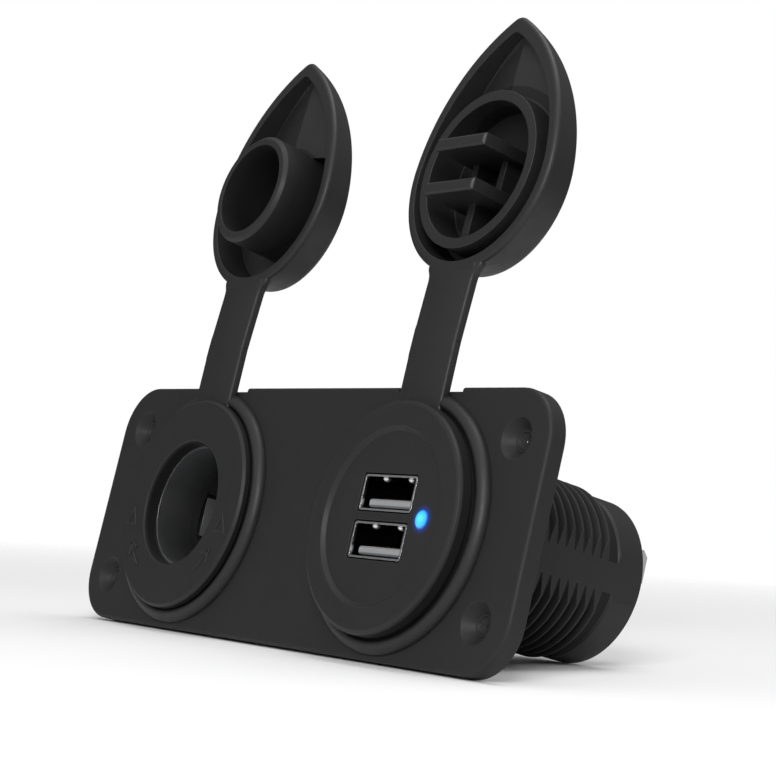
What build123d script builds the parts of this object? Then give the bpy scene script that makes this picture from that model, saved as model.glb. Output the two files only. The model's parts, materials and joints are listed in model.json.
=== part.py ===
from build123d import *
import math
import os

# Twin in-car power panel: a 12 V lighter socket and a dual USB charger socket side by side on one
# screw-down panel, each with a flip-up weather cap on a moulded strap.
#
# Frame: +X to the right, +Y to the back, +Z up, in millimetres. The origin is the centre of the
# panel's back face, on the plane that goes against the dashboard. The front faces look along -Y.

# Mounting panel
PANEL_HEIGHT = 43.4
PANEL_THICKNESS = 3.0
PANEL_CORNER_RADIUS = 8.5
PANEL_EDGE_ROUND = 0.6
SOCKET_SPACING = 59.2
SOCKET_END_MARGIN = 30.4
SCREW_END_INSET = 7.4
SCREW_EDGE_INSET = 7.85
SCREW_HOLE_RADIUS = 1.7
COUNTERSINK_RADIUS = 3.3
COUNTERSINK_DEPTH = 1.7
NOTCH_WIDTH = 16.4
NOTCH_DEPTH = 0.8

# Barrels, the same on both sockets: a coarse V thread with two flats, and a smooth tail
THREAD_RADIUS = 14.4
THREAD_DEPTH = 1.0
THREAD_PITCH = 1.9
THREAD_CREST_WIDTH = 0.26
THREAD_ROOT_WIDTH = 0.44
THREAD_LENGTH = 31.0
BARREL_TAIL_RADIUS = 13.7
BARREL_REAR = 37.0
BARREL_FLAT = 13.2
BARREL_HOLE_CLEARANCE = 0.3
SHOULDER_RADIUS = 16.6

# Ring nuts behind the panel, each in a shallow round seat, so that they clear the dashboard's face
NUT_SEAT_DEPTH = 0.5
NUT_SEAT_CLEARANCE = 0.5
NUT_RADIUS = 17.5
NUT_THICKNESS = 5.0
NUT_CLEARANCE = 0.1
NUT_SCALLOPS = 12
NUT_SCALLOP_RADIUS = 2.0
NUT_EDGE_ROUND = 0.5

# Retaining ring and strap of each cap
RING_RADIUS = 20.8
RING_THICKNESS = 1.6
RING_BEVEL = 1.2
STRAP_WIDTH = 10.8
STRAP_THICKNESS = 1.5
STRAP_FREE_LENGTH = 18.4
STRAP_EDGE_ROUND = 0.4
HINGE_GAP_BELOW = 0.25
HINGE_GAP_ABOVE = 0.35
LIGHTER_CAP_LEAN = 3.2
USB_CAP_LEAN = 2.7
CAP_SEAT_GAP = 0.3

# Lighter socket
LIGHTER_FLANGE_RADIUS = 18.7
LIGHTER_FLANGE_THICKNESS = 1.3
LIGHTER_STEP = 0.1
LIGHTER_COLLAR_RADIUS = 10.8
LIGHTER_BORE_RADIUS = 10.48
SLEEVE_SETBACK = 2.4
SLEEVE_THICKNESS = 0.45
SLEEVE_WAIST = 0.32
SLEEVE_MOUTH_LENGTH = 7.0
SLEEVE_LENGTH = 31.0
SLEEVE_FLOOR_HOLE = 5.6
SLEEVE_FIT = 0.05
SPRING_WIDTH = 7.0
SPRING_LENGTH = 12.0
SPRING_SLOT = 0.7
SPRING_INSET = 0.9
BASE_THICKNESS = 5.0
BASE_BOSS_RISE = 0.8
CENTRE_CONTACT_RADIUS = 3.4
CENTRE_CONTACT_RISE = 2.2
CENTRE_STEM_RADIUS = 1.4

# USB charger socket
USB_FLANGE_RADIUS = 18.5
USB_FLANGE_THICKNESS = 2.3
USB_STEP = 0.3
USB_DISH_RADIUS = 14.3
USB_DISH_DEPTH = 0.6
USB_FACE_WALL = 2.0
USB_CAVITY_RADIUS = 12.0
PORT_SPACING = 7.5
PORT_WIDTH = 13.1
PORT_HEIGHT = 5.7
PORT_LENGTH = 14.0
PORT_WALL = 0.3
PORT_CORNER = 0.5
PORT_WINDOW_CLEARANCE = 0.25
PORT_SETBACK = 0.15
TONGUE_WIDTH = 11.1
TONGUE_THICKNESS = 1.3
TONGUE_GAP_BELOW = 0.5
TONGUE_SETBACK = 1.1
TONGUE_BASE_LENGTH = 5.0
CONTACT_WIDTH = 1.0
CONTACT_THICKNESS = 0.2
CONTACT_BUMP = 0.25
CONTACT_POSITIONS = (-3.5, -1.0, 1.0, 3.5)
DIMPLE_RADIUS = 0.6
DIMPLE_RISE = 0.25
DIMPLE_SPREAD = 6.4
DIMPLE_SETBACK = 3.0
LED_X = 9.9
LED_RADIUS = 1.6
LED_DOME = 0.6
LED_BASE_RADIUS = 2.0
LED_BASE_LENGTH = 1.4
LED_LEAD_SIZE = 0.5
LED_LEAD_SPREAD = 1.27
BOARD_THICKNESS = 1.6
PORT_BOARD_WIDTH = 19.4
PORT_BOARD_HEIGHT = 13.4
CONVERTER_BOARD_WIDTH = 18.0
REAR_COVER_THICKNESS = 4.0
REAR_COVER_FIT = 0.05
INDUCTOR_SIZE = 8.0
INDUCTOR_HEIGHT = 4.5
INDUCTOR_CORE_RADIUS = 3.2
INDUCTOR_CORE_RISE = 0.8
INDUCTOR_X = -4.2
CAPACITOR_RADIUS = 2.5
CAPACITOR_LENGTH = 9.0
CAPACITOR_GROOVE = 0.3
CHIP_WIDTH = 5.0
CHIP_LENGTH = 6.0
CHIP_HEIGHT = 1.5

# Blade terminals
BLADE_WIDTH = 6.3
BLADE_THICKNESS = 0.8
BLADE_REACH = 8.0
BLADE_ROOT = 2.0
BLADE_TIP_CHAMFER = 1.0
BLADE_EYE_RADIUS = 0.9
BLADE_SPACING = 9.0
BLADE_SLOT_CLEARANCE = 0.1

# Teardrop caps
CAP_RADIUS = 17.3
CAP_TIP = 26.8
CAP_TIP_RADIUS = 2.4
CAP_SIDE_RADIUS = 31.5
CAP_DEPTH = 7.8
CAP_DRAFT = 14.0
CAP_INNER_DRAFT = 8.0
CAP_CROWN_RADIUS = 90.0
CAP_CROWN_Z = -4.0
CAP_BACK_ROUND = 1.5
CAP_RIM_ROUND = 0.7
CAP_WALL = 1.5
CAP_RIM_WIDTH = 1.9
CAP_TIP_WALL = 3.0
CAP_WEB_FOOT = 8.5
CAP_WEB_RIDGE = 2.2
CAP_WEB_SLOPE = 0.16
PLUG_RADIUS = 10.1
PLUG_WALL = 1.7
PLUG_REACH = 4.5
PLUG_CHAMFER = 0.6
SEAL_RING_RADIUS = 13.4
SEAL_RING_WALL = 1.7
SEAL_RING_REACH = 0.5
TONGUE_PLUG_WIDTH = 12.0
TONGUE_PLUG_THICKNESS = 2.0
TONGUE_PLUG_REACH = 5.0
TONGUE_PLUG_CHAMFER = 0.35
RIB_THICKNESS = 1.3
RIB_SPREAD = 7.0
RIB_SETBACK = 2.0
FOOT_RIB_THICKNESS = 1.6
FOOT_RIB_SETBACK = 0.6

# Planes and places that follow from the sizes above
PANEL_FRONT = -PANEL_THICKNESS
NUT_FRONT = -NUT_SEAT_DEPTH
NUT_REAR = NUT_FRONT + NUT_THICKNESS
RING_FRONT = PANEL_FRONT - RING_THICKNESS
LIGHTER_FACE = RING_FRONT - LIGHTER_STEP - LIGHTER_FLANGE_THICKNESS
USB_FACE = RING_FRONT - USB_STEP - USB_FLANGE_THICKNESS
USB_DISH_FLOOR = USB_FACE + USB_DISH_DEPTH
THREAD_ROOT = THREAD_RADIUS - THREAD_DEPTH
BARREL_HOLE_RADIUS = THREAD_RADIUS + BARREL_HOLE_CLEARANCE
PANEL_WIDTH = SOCKET_SPACING + 2 * SOCKET_END_MARGIN
SCREW_SPACING_X = PANEL_WIDTH - 2 * SCREW_END_INSET
SCREW_SPACING_Z = PANEL_HEIGHT - 2 * SCREW_EDGE_INSET
LIGHTER_X = -SOCKET_SPACING / 2
USB_X = SOCKET_SPACING / 2
STRAP_TOP = PANEL_HEIGHT / 2 + STRAP_FREE_LENGTH
CAP_CENTRE_Z = STRAP_TOP + CAP_RADIUS
HINGE_Z = CAP_CENTRE_Z / 2
LIGHTER_HINGE_Y = (RING_FRONT + LIGHTER_FACE - CAP_SEAT_GAP) / 2
USB_HINGE_Y = (RING_FRONT + USB_FACE - CAP_SEAT_GAP) / 2
SLEEVE_FRONT = LIGHTER_FACE + SLEEVE_SETBACK
SLEEVE_REAR = SLEEVE_FRONT + SLEEVE_LENGTH
SLEEVE_BODY_RADIUS = LIGHTER_BORE_RADIUS + SLEEVE_WAIST
SLEEVE_OUTER_RADIUS = SLEEVE_BODY_RADIUS + SLEEVE_THICKNESS
LIGHTER_POCKET_RADIUS = SLEEVE_OUTER_RADIUS + SLEEVE_FIT
PORT_FRONT = USB_DISH_FLOOR + PORT_SETBACK
PORT_REAR = PORT_FRONT + PORT_LENGTH
PORT_FLOOR = -PORT_HEIGHT / 2 + PORT_WALL
PORT_CEILING = PORT_HEIGHT / 2 - PORT_WALL
TONGUE_TOP = PORT_FLOOR + TONGUE_GAP_BELOW + TONGUE_THICKNESS
TONGUE_FRONT = PORT_FRONT + TONGUE_SETBACK
TONGUE_BASE_FRONT = PORT_REAR - TONGUE_BASE_LENGTH
PORT_FREE_CENTRE = (TONGUE_TOP + PORT_CEILING) / 2
CAVITY_FRONT = USB_DISH_FLOOR + USB_FACE_WALL
REAR_COVER_FRONT = BARREL_REAR - REAR_COVER_THICKNESS
BOARD_TOP = 1.0
FAR = 200.0


def turned(points, x=0.0):
    """A body of revolution about the Y axis at x, from (radius, y) points."""
    profile = make_face(Polyline(*points, close=True))
    return Pos(x, 0, 0) * revolve(profile, Axis.Y, 360)


def block(width, y_low, y_high, height, x=0.0, z=0.0):
    """A box centred on x and z, between two Y planes."""
    return Pos(x, (y_low + y_high) / 2, z) * Box(width, y_high - y_low, height)


def drilled(radius, y_low, y_high, x=0.0, z=0.0):
    """A cylinder along Y between two Y planes, for pins and holes."""
    return Pos(x, (y_low + y_high) / 2, z) * Rot(90, 0, 0) * Cylinder(radius, y_high - y_low)


def plate_outline(width, height, radius, y):
    """A rounded rectangle standing at the plane y, facing the back."""
    return Pos(0, y, 0) * Rot(-90, 0, 0) * RectangleRounded(width, height, radius)


def build_mounting_panel():
    """Flat moulded plate: two barrel holes with nut seats, four countersunk holes, two strap notches."""
    outline = plate_outline(PANEL_WIDTH, PANEL_HEIGHT, PANEL_CORNER_RADIUS, 0)
    plate = extrude(outline, -PANEL_THICKNESS, dir=(0, 1, 0))
    front_edges = plate.edges().filter_by(lambda e: abs(e.center().Y - PANEL_FRONT) < 1e-6)
    plate = fillet(front_edges, PANEL_EDGE_ROUND)
    for x in (LIGHTER_X, USB_X):
        plate -= drilled(BARREL_HOLE_RADIUS, PANEL_FRONT - 1, 1, x)
        plate -= drilled(NUT_RADIUS + NUT_SEAT_CLEARANCE, NUT_FRONT, 1, x)
        plate -= block(NOTCH_WIDTH, PANEL_FRONT - 1, 1, 2 * NOTCH_DEPTH, x, PANEL_HEIGHT / 2)
    sink = turned([(0, PANEL_FRONT - 1), (COUNTERSINK_RADIUS, PANEL_FRONT - 1),
                   (COUNTERSINK_RADIUS, PANEL_FRONT), (SCREW_HOLE_RADIUS, PANEL_FRONT + COUNTERSINK_DEPTH),
                   (SCREW_HOLE_RADIUS, 1), (0, 1)])
    for x in (-SCREW_SPACING_X / 2, SCREW_SPACING_X / 2):
        for z in (-SCREW_SPACING_Z / 2, SCREW_SPACING_Z / 2):
            plate -= Pos(x, 0, z) * sink
    return plate


def barrel_outside():
    """(radius, y) points of the barrel's outside: full neck through the panel, thread, smooth tail."""
    neck = [(THREAD_RADIUS, RING_FRONT), (THREAD_RADIUS, NUT_FRONT - THREAD_DEPTH)]
    flank = (THREAD_PITCH - THREAD_CREST_WIDTH - THREAD_ROOT_WIDTH) / 2
    thread = [(THREAD_ROOT, NUT_FRONT)]
    for turn in range(int((THREAD_LENGTH - NUT_REAR - 0.2) / THREAD_PITCH)):
        y = NUT_REAR + 0.2 + turn * THREAD_PITCH
        thread.append((THREAD_ROOT, y))
        thread.append((THREAD_RADIUS, y + flank))
        thread.append((THREAD_RADIUS, y + flank + THREAD_CREST_WIDTH))
        thread.append((THREAD_ROOT, y + 2 * flank + THREAD_CREST_WIDTH))
    thread.append((THREAD_ROOT, THREAD_LENGTH))
    tail = [(BARREL_TAIL_RADIUS, THREAD_LENGTH + 0.3), (BARREL_TAIL_RADIUS, BARREL_REAR - 0.6),
            (BARREL_TAIL_RADIUS - 0.6, BARREL_REAR)]
    return neck + thread + tail


def barrel_flats():
    """The two slabs that cut the barrel's side flats, behind the flange."""
    slab = block(FAR, PANEL_FRONT, BARREL_REAR + 1, FAR)
    return [Pos(side * (BARREL_FLAT + FAR / 2), 0, 0) * slab for side in (-1, 1)]


def build_lighter_housing():
    """Moulded flange and threaded barrel of the lighter socket, open at both ends."""
    outside = [(LIGHTER_COLLAR_RADIUS + 0.5, LIGHTER_FACE), (LIGHTER_FLANGE_RADIUS - 0.5, LIGHTER_FACE),
               (LIGHTER_FLANGE_RADIUS, LIGHTER_FACE + 0.5),
               (LIGHTER_FLANGE_RADIUS, RING_FRONT - LIGHTER_STEP),
               (SHOULDER_RADIUS, RING_FRONT - LIGHTER_STEP), (SHOULDER_RADIUS, RING_FRONT)]
    inside = [(LIGHTER_POCKET_RADIUS, BARREL_REAR), (LIGHTER_POCKET_RADIUS, SLEEVE_FRONT),
              (LIGHTER_COLLAR_RADIUS, SLEEVE_FRONT), (LIGHTER_COLLAR_RADIUS, LIGHTER_FACE + 0.5)]
    housing = turned(outside + barrel_outside() + inside)
    for slab in barrel_flats():
        housing -= slab
    return Pos(LIGHTER_X, 0, 0) * housing


def build_ground_sleeve():
    """Deep-drawn metal sleeve with a hemmed mouth, a floor and two side springs bent inwards."""
    waist = SLEEVE_FRONT + SLEEVE_MOUTH_LENGTH
    sleeve = turned([(LIGHTER_BORE_RADIUS, SLEEVE_FRONT), (SLEEVE_OUTER_RADIUS, SLEEVE_FRONT),
                     (SLEEVE_OUTER_RADIUS, SLEEVE_REAR), (SLEEVE_FLOOR_HOLE, SLEEVE_REAR),
                     (SLEEVE_FLOOR_HOLE, SLEEVE_REAR - SLEEVE_THICKNESS),
                     (SLEEVE_BODY_RADIUS, SLEEVE_REAR - SLEEVE_THICKNESS),
                     (SLEEVE_BODY_RADIUS, waist + SLEEVE_WAIST), (LIGHTER_BORE_RADIUS, waist)])
    slot_low = waist + 2.0
    slot_high = slot_low + SPRING_LENGTH + SPRING_SLOT
    for side in (-1, 1):
        window = block(4.0, slot_low, slot_high, SPRING_WIDTH + 2 * SPRING_SLOT, side * SLEEVE_OUTER_RADIUS)
        sleeve -= window
        x_root = side * (SLEEVE_BODY_RADIUS + SLEEVE_THICKNESS / 2)
        x_tip = side * (SLEEVE_BODY_RADIUS + SLEEVE_THICKNESS / 2 - SPRING_INSET)
        y_root = slot_high + 0.3
        y_knee = slot_low + SPRING_SLOT + 2.5
        y_tip = slot_low + SPRING_SLOT
        line = Polyline((x_root, y_root), (x_tip, y_knee), (x_root - side * 0.2, y_tip))
        strip = trace(line, SLEEVE_THICKNESS)
        spring = extrude(strip, SPRING_WIDTH / 2, both=True)
        sleeve += spring & drilled(SLEEVE_OUTER_RADIUS, SLEEVE_FRONT, SLEEVE_REAR)
    return Pos(LIGHTER_X, 0, 0) * sleeve


def blade_slot(y_low, y_high, x, z):
    """The hole that a blade terminal passes through, with its clearance."""
    clearance = 2 * BLADE_SLOT_CLEARANCE
    return block(BLADE_THICKNESS + clearance, y_low, y_high, BLADE_WIDTH + clearance, x, z)


def build_contact_base():
    """Insulating base pressed into the barrel behind the sleeve, with a boss for the centre contact."""
    rear = SLEEVE_REAR + BASE_THICKNESS
    boss = SLEEVE_FLOOR_HOLE - 0.1
    boss_front = SLEEVE_REAR - SLEEVE_THICKNESS - BASE_BOSS_RISE
    base = turned([(0, boss_front), (boss, boss_front), (boss, SLEEVE_REAR),
                   (SLEEVE_OUTER_RADIUS, SLEEVE_REAR), (SLEEVE_OUTER_RADIUS, rear), (0, rear)])
    base -= drilled(CENTRE_STEM_RADIUS + 0.05, SLEEVE_REAR - 5, rear + 1)
    base -= blade_slot(SLEEVE_REAR - 1, rear + 1, BLADE_SPACING, 0)
    return Pos(LIGHTER_X, 0, 0) * base


def build_centre_contact():
    """Domed brass button on a rivet stem, standing up from the insulating base."""
    seat = SLEEVE_REAR - SLEEVE_THICKNESS - BASE_BOSS_RISE
    rear = SLEEVE_REAR + BASE_THICKNESS
    radius = CENTRE_CONTACT_RADIUS
    rise = CENTRE_CONTACT_RISE
    contact = turned([(0, seat - rise), (radius * 0.5, seat - rise), (radius * 0.85, seat - rise * 0.75),
                      (radius, seat - rise * 0.35), (radius, seat),
                      (CENTRE_STEM_RADIUS, seat), (CENTRE_STEM_RADIUS, rear), (0, rear)])
    return Pos(LIGHTER_X, 0, 0) * contact


def build_blade(x, y_root, y_tip, z=0.0):
    """Flat blade terminal, standing in the YZ plane, with chamfered tip corners and a locking eye."""
    blade = block(BLADE_THICKNESS, y_root, y_tip, BLADE_WIDTH, x, z)
    tip_corners = blade.edges().filter_by(Axis.X).filter_by(lambda e: abs(e.center().Y - y_tip) < 1e-6)
    blade = chamfer(tip_corners, BLADE_TIP_CHAMFER)
    eye = Pos(x, y_tip - 3.2, z) * Rot(0, 90, 0) * Cylinder(BLADE_EYE_RADIUS, 4 * BLADE_THICKNESS)
    return blade - eye


def build_lighter_terminals():
    """Positive blade on the centre stem's rear and ground blade through the base to the sleeve's floor."""
    base_rear = SLEEVE_REAR + BASE_THICKNESS
    tip = BARREL_REAR + BLADE_REACH
    positive = build_blade(LIGHTER_X, base_rear, tip)
    ground = build_blade(LIGHTER_X + BLADE_SPACING, SLEEVE_REAR, tip)
    return positive, ground


def build_nut(x):
    """Moulded ring nut with finger scallops, in its seat in the panel's back."""
    bore = THREAD_ROOT + NUT_CLEARANCE
    nut = turned([(bore, NUT_FRONT), (NUT_RADIUS, NUT_FRONT), (NUT_RADIUS, NUT_REAR - NUT_EDGE_ROUND),
                  (NUT_RADIUS - NUT_EDGE_ROUND, NUT_REAR), (bore, NUT_REAR)])
    reach = NUT_RADIUS + NUT_SCALLOP_RADIUS * 0.55
    for step in range(NUT_SCALLOPS):
        angle = math.radians(360 / NUT_SCALLOPS * (step + 0.5))
        scallop = drilled(NUT_SCALLOP_RADIUS, NUT_FRONT - 1, NUT_REAR + 1)
        nut -= Pos(reach * math.cos(angle), 0, reach * math.sin(angle)) * scallop
    return Pos(x, 0, 0) * nut


def build_cap_ring(x, hinge_gap):
    """Retaining ring under the flange, with the lower half of the strap that rises from it."""
    ring = turned([(BARREL_HOLE_RADIUS, PANEL_FRONT), (RING_RADIUS, PANEL_FRONT),
                   (RING_RADIUS, PANEL_FRONT - 0.4), (RING_RADIUS - RING_BEVEL, RING_FRONT),
                   (BARREL_HOLE_RADIUS, RING_FRONT)])
    strap_back = RING_FRONT + STRAP_THICKNESS
    z_low = BARREL_HOLE_RADIUS + 1.0
    z_high = HINGE_Z - hinge_gap
    strap = block(STRAP_WIDTH, RING_FRONT, strap_back, z_high - z_low, 0, (z_low + z_high) / 2)
    long_edges = strap.edges().filter_by(Axis.Z)
    strap = fillet(long_edges, STRAP_EDGE_ROUND)
    return Pos(x, 0, 0) * (ring + strap)


def teardrop(radius, tip, tip_radius, side_radius):
    """Teardrop face on the rim plane: a round end, a small round tip above it and two bulged sides."""
    reach = tip - tip_radius
    centre_z = (reach**2 + (side_radius - radius) ** 2 - (side_radius - tip_radius) ** 2) / (2 * reach)
    centre_x = math.sqrt((side_radius - radius) ** 2 - centre_z**2)
    low = math.atan2(-centre_z, centre_x)
    high = math.atan2(reach - centre_z, centre_x)

    def side(angle, mirror):
        out = side_radius * math.cos(angle) - centre_x
        return (mirror * out, 0, centre_z + side_radius * math.sin(angle))

    bottom = ThreePointArc(side(low, -1), (0, 0, -radius), side(low, 1))
    right = ThreePointArc(side(low, 1), side((low + high) / 2, 1), side(high, 1))
    top = ThreePointArc(side(high, 1), (0, 0, tip), side(high, -1))
    left = ThreePointArc(side(high, -1), side((low + high) / 2, -1), side(low, -1))
    return Face(Wire([bottom, right, top, left]))


def crowned(face, depth, draft):
    """A face pushed back with drafted sides and closed by a ball-shaped crown, deepest below its centre."""
    prism = extrude(face, depth + 0.1, dir=(0, 1, 0), taper=draft)
    crown = Pos(0, depth - CAP_CROWN_RADIUS, CAP_CROWN_Z) * Sphere(CAP_CROWN_RADIUS)
    return prism & crown


def cap_outside():
    """The cap's outer form: drafted skirt, rounded rim, shallow crown that thins towards the tip."""
    face = teardrop(CAP_RADIUS, CAP_TIP, CAP_TIP_RADIUS, CAP_SIDE_RADIUS)
    body = crowned(face, CAP_DEPTH, CAP_DRAFT)
    back = body.faces().sort_by(Axis.Y)[-1].edges()
    body = fillet(back, CAP_BACK_ROUND)
    rim = body.edges().filter_by(lambda e: abs(e.center().Y) < 1e-6)
    return fillet(rim, CAP_RIM_ROUND)


def cap_inside():
    """The cap's hollow, which leaves its wall, a wider rim and a thick tip."""
    narrow = CAP_SIDE_RADIUS - CAP_RIM_WIDTH
    face = teardrop(CAP_RADIUS - CAP_RIM_WIDTH, CAP_TIP - CAP_TIP_WALL, CAP_TIP_RADIUS * 0.8, narrow)
    return crowned(face, CAP_DEPTH - CAP_WALL, CAP_INNER_DRAFT)


def build_cap_shell(clear_radius):
    """Hollow teardrop cap about its own centre, with a roof-shaped web that stiffens its tip."""
    inner = cap_inside()
    eave = CAP_WEB_RIDGE + CAP_WEB_SLOPE * FAR
    roof = Polyline((-FAR, eave), (0, CAP_WEB_RIDGE), (FAR, eave), (FAR, FAR), (-FAR, FAR), close=True)
    web = Pos(0, 0, CAP_WEB_FOOT) * extrude(make_face(roof), CAP_TIP)
    web -= drilled(clear_radius, -1, CAP_DEPTH + 1)
    return cap_outside() - (inner - web)


def cap_floor_fill(solid):
    """Trims a boss or rib so that it ends inside the cap's dome and never shows behind it."""
    behind = block(FAR, 0, FAR, FAR)
    return (solid - behind) + (solid & cap_outside())


def cap_strap():
    """Upper half of the strap, from just above the fold to the cap's rim, flush with the rim's front."""
    z_low = HINGE_Z - CAP_CENTRE_Z + HINGE_GAP_ABOVE
    z_high = -CAP_RADIUS + CAP_RIM_WIDTH - 0.1
    strap = block(STRAP_WIDTH, 0, STRAP_THICKNESS, z_high - z_low, 0, (z_low + z_high) / 2)
    return fillet(strap.edges().filter_by(Axis.Z), STRAP_EDGE_ROUND)


def stand_cap(cap, x, hinge_y, lean):
    """Puts a cap above its socket and leans it back about the strap's fold."""
    upright = Pos(x, RING_FRONT, CAP_CENTRE_Z) * cap
    fold = Axis((x, hinge_y, HINGE_Z), (1, 0, 0))
    return upright.rotate(fold, -lean)


def build_lighter_cap():
    """Cap with a hollow round plug that closes the lighter socket's mouth."""
    bore = PLUG_RADIUS - PLUG_WALL
    plug = turned([(bore, -PLUG_REACH), (PLUG_RADIUS - PLUG_CHAMFER, -PLUG_REACH),
                   (PLUG_RADIUS, PLUG_CHAMFER - PLUG_REACH), (PLUG_RADIUS, CAP_DEPTH), (bore, CAP_DEPTH)])
    cap = build_cap_shell(bore) + cap_floor_fill(plug) + cap_strap()
    return stand_cap(cap, LIGHTER_X, LIGHTER_HINGE_Y, LIGHTER_CAP_LEAN)


def tongue_plug(z):
    """One flat tongue that enters a USB port's free half when the cap is shut."""
    tongue = block(TONGUE_PLUG_WIDTH, -TONGUE_PLUG_REACH, CAP_DEPTH, TONGUE_PLUG_THICKNESS, 0, z)
    tip_edges = tongue.edges().filter_by(lambda e: abs(e.center().Y + TONGUE_PLUG_REACH) < 1e-6)
    return chamfer(tip_edges, TONGUE_PLUG_CHAMFER)


def build_usb_cap():
    """Cap with a seal ring that drops into the charger's dish and two tongues for its ports."""
    bore = SEAL_RING_RADIUS - SEAL_RING_WALL
    seal = turned([(bore, -SEAL_RING_REACH), (SEAL_RING_RADIUS, -SEAL_RING_REACH),
                   (SEAL_RING_RADIUS, CAP_DEPTH), (bore, CAP_DEPTH)])
    upper = PORT_SPACING / 2 - PORT_FREE_CENTRE
    lower = -PORT_SPACING / 2 - PORT_FREE_CENTRE
    foot = -SEAL_RING_RADIUS + SEAL_RING_WALL / 2
    pieces = [tongue_plug(upper), tongue_plug(lower)]
    for x in (-RIB_SPREAD / 2, RIB_SPREAD / 2):
        pieces.append(block(RIB_THICKNESS, RIB_SETBACK, CAP_DEPTH, upper - lower, x, (upper + lower) / 2))
    foot_z = (lower + foot) / 2
    pieces.append(block(FOOT_RIB_THICKNESS, FOOT_RIB_SETBACK, CAP_DEPTH, lower - foot, 0, foot_z))
    cap = build_cap_shell(bore) + cap_floor_fill(seal)
    for piece in pieces:
        cap += cap_floor_fill(piece)
    return stand_cap(cap + cap_strap(), USB_X, USB_HINGE_Y, USB_CAP_LEAN)


def port_places():
    """Height of each USB port, upper first."""
    return PORT_SPACING / 2, -PORT_SPACING / 2


def rounded_tube(width, height, corner, y_low, y_high):
    """A rectangular prism along Y with rounded long edges."""
    return fillet(block(width, y_low, y_high, height).edges().filter_by(Axis.Y), corner)


def build_usb_housing():
    """Flanged threaded barrel of the charger, closed by a dished face with two windows and a lamp hole."""
    outside = [(0, USB_DISH_FLOOR), (USB_DISH_RADIUS - USB_DISH_DEPTH, USB_DISH_FLOOR),
               (USB_DISH_RADIUS, USB_FACE),
               (USB_FLANGE_RADIUS - 0.7, USB_FACE), (USB_FLANGE_RADIUS - 0.2, USB_FACE + 0.2),
               (USB_FLANGE_RADIUS, USB_FACE + 0.7), (USB_FLANGE_RADIUS, RING_FRONT - USB_STEP),
               (SHOULDER_RADIUS, RING_FRONT - USB_STEP), (SHOULDER_RADIUS, RING_FRONT)]
    inside = [(USB_CAVITY_RADIUS, BARREL_REAR), (USB_CAVITY_RADIUS, CAVITY_FRONT), (0, CAVITY_FRONT)]
    housing = turned(outside + barrel_outside() + inside)
    for slab in barrel_flats():
        housing -= slab
    width = PORT_WIDTH + 2 * PORT_WINDOW_CLEARANCE
    height = PORT_HEIGHT + 2 * PORT_WINDOW_CLEARANCE
    window = rounded_tube(width, height, PORT_CORNER, USB_FACE - 1, CAVITY_FRONT + 1)
    for z in port_places():
        housing -= Pos(0, 0, z) * window
    housing -= drilled(LED_RADIUS, USB_FACE - 1, CAVITY_FRONT + 1, LED_X)
    return Pos(USB_X, 0, 0) * housing


def build_port_shell(z):
    """Folded metal shell of one USB receptacle, with two spring dimples pressed into its roof."""
    shell = rounded_tube(PORT_WIDTH, PORT_HEIGHT, PORT_CORNER, PORT_FRONT, PORT_REAR)
    inner_width = PORT_WIDTH - 2 * PORT_WALL
    inner_height = PORT_HEIGHT - 2 * PORT_WALL
    shell -= rounded_tube(inner_width, inner_height, PORT_CORNER * 0.6, PORT_FRONT - 1, PORT_REAR + 1)
    ball_radius = (DIMPLE_RADIUS**2 + DIMPLE_RISE**2) / (2 * DIMPLE_RISE)
    ball_z = PORT_CEILING - DIMPLE_RISE + ball_radius
    roof_z = PORT_CEILING + (PORT_WALL - DIMPLE_RISE) / 2
    roof = block(PORT_WIDTH, PORT_FRONT, PORT_REAR, PORT_WALL + DIMPLE_RISE, 0, roof_z)
    for x in (-DIMPLE_SPREAD / 2, DIMPLE_SPREAD / 2):
        shell += Pos(x, PORT_FRONT + DIMPLE_SETBACK, ball_z) * Sphere(ball_radius) & roof
    return Pos(USB_X, 0, z) * shell


def build_port_tongue(z):
    """Moulded insulator of one receptacle: a rear block and the tongue that carries the contacts."""
    inner_height = PORT_HEIGHT - 2 * PORT_WALL
    base = block(PORT_WIDTH - 2 * PORT_WALL - 1.0, TONGUE_BASE_FRONT, PORT_REAR, inner_height)
    middle = TONGUE_TOP - TONGUE_THICKNESS / 2
    tongue = block(TONGUE_WIDTH, TONGUE_FRONT, TONGUE_BASE_FRONT + 0.5, TONGUE_THICKNESS, 0, middle)
    cross_edges = tongue.edges().filter_by(Axis.X)
    front_edges = cross_edges.filter_by(lambda e: abs(e.center().Y - TONGUE_FRONT) < 1e-6)
    return Pos(USB_X, 0, z) * (chamfer(front_edges, 0.3) + base)


def build_port_contacts(z):
    """Four spring contacts that lie on the tongue, each with a raised bow near its front."""
    y_low = TONGUE_FRONT + 0.8
    top = TONGUE_TOP + CONTACT_THICKNESS
    bow = top + CONTACT_BUMP
    side = Polyline((y_low, TONGUE_TOP), (TONGUE_BASE_FRONT, TONGUE_TOP), (TONGUE_BASE_FRONT, top),
                    (y_low + 2.4, top), (y_low + 1.6, bow), (y_low + 0.8, bow), (y_low, TONGUE_TOP + 0.1),
                    close=True)
    strip = extrude(Plane.YZ * make_face(side), CONTACT_WIDTH / 2, both=True)
    return Compound([Pos(USB_X + x, 0, z) * strip for x in CONTACT_POSITIONS])


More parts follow.
